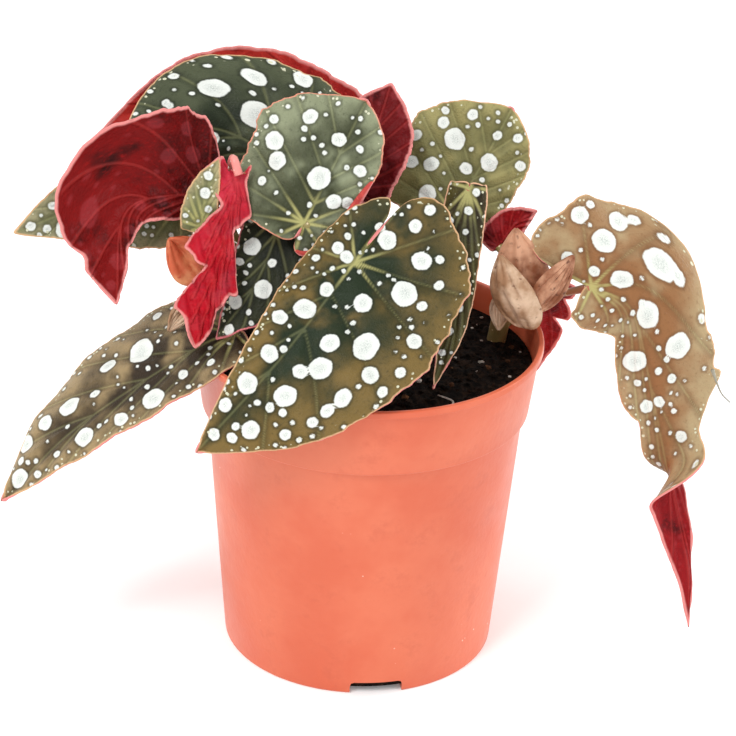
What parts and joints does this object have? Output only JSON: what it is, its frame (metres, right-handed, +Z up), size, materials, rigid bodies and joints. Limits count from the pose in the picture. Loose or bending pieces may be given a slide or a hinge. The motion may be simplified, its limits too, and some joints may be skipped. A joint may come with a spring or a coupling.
{
  "type": "potted polka dot begonia",
  "caption": "Young spotted cane begonia with drooping wing-shaped leaves, growing in a thin tapered plastic nursery pot that stands on its flat base.",
  "frame": {"origin": "middle of the pot's flat underside, on the surface that it stands on", "axes": "+Z up along the pot's axis, -Y towards the plant's front, where the largest spotted leaf faces"},
  "size_m": [0.2378, 0.1469, 0.1984],
  "materials": {
    "pot": "semi-gloss moulded coral terracotta plastic",
    "soil": "rough granular potting mix",
    "cane": "satin green-brown stem",
    "petiole": "satin fleshy stalk",
    "leaf": "waxy satin, silver spots above and crimson below",
    "bract": "dry papery bract"
  },
  "bodies": {
    "root": {"bract_left_front": "bract", "bract_left_tail": "bract", "bract_right_front": "bract", "bract_right_left": "bract", "bract_right_side": "bract", "bract_right_tail": "bract", "cane_left": "cane", "cane_middle": "cane", "cane_right": "cane", "leaf_back": "leaf", "leaf_back_left": "leaf", "leaf_back_low": "leaf", "leaf_back_right": "leaf", "leaf_far_left": "leaf", "leaf_folded": "leaf", "leaf_front": "leaf", "leaf_inner": "leaf", "leaf_left": "leaf", "leaf_lower_left": "leaf", "leaf_right": "leaf", "leaf_rolled": "leaf", "leaf_top": "leaf", "leaf_upper": "leaf", "leaf_upper_right": "leaf", "leaf_young_left": "leaf", "leaf_young_right": "leaf", "petiole_back": "petiole", "petiole_back_left": "petiole", "petiole_back_low": "petiole", "petiole_back_right": "petiole", "petiole_far_left": "petiole", "petiole_folded": "petiole", "petiole_front": "petiole", "petiole_inner": "petiole", "petiole_left": "petiole", "petiole_lower_left": "petiole", "petiole_right": "petiole", "petiole_rolled": "petiole", "petiole_top": "petiole", "petiole_upper": "petiole", "petiole_upper_right": "petiole", "petiole_young_left": "petiole", "petiole_young_right": "petiole", "pot": "pot", "soil": "soil"}
  },
  "joints": []
}
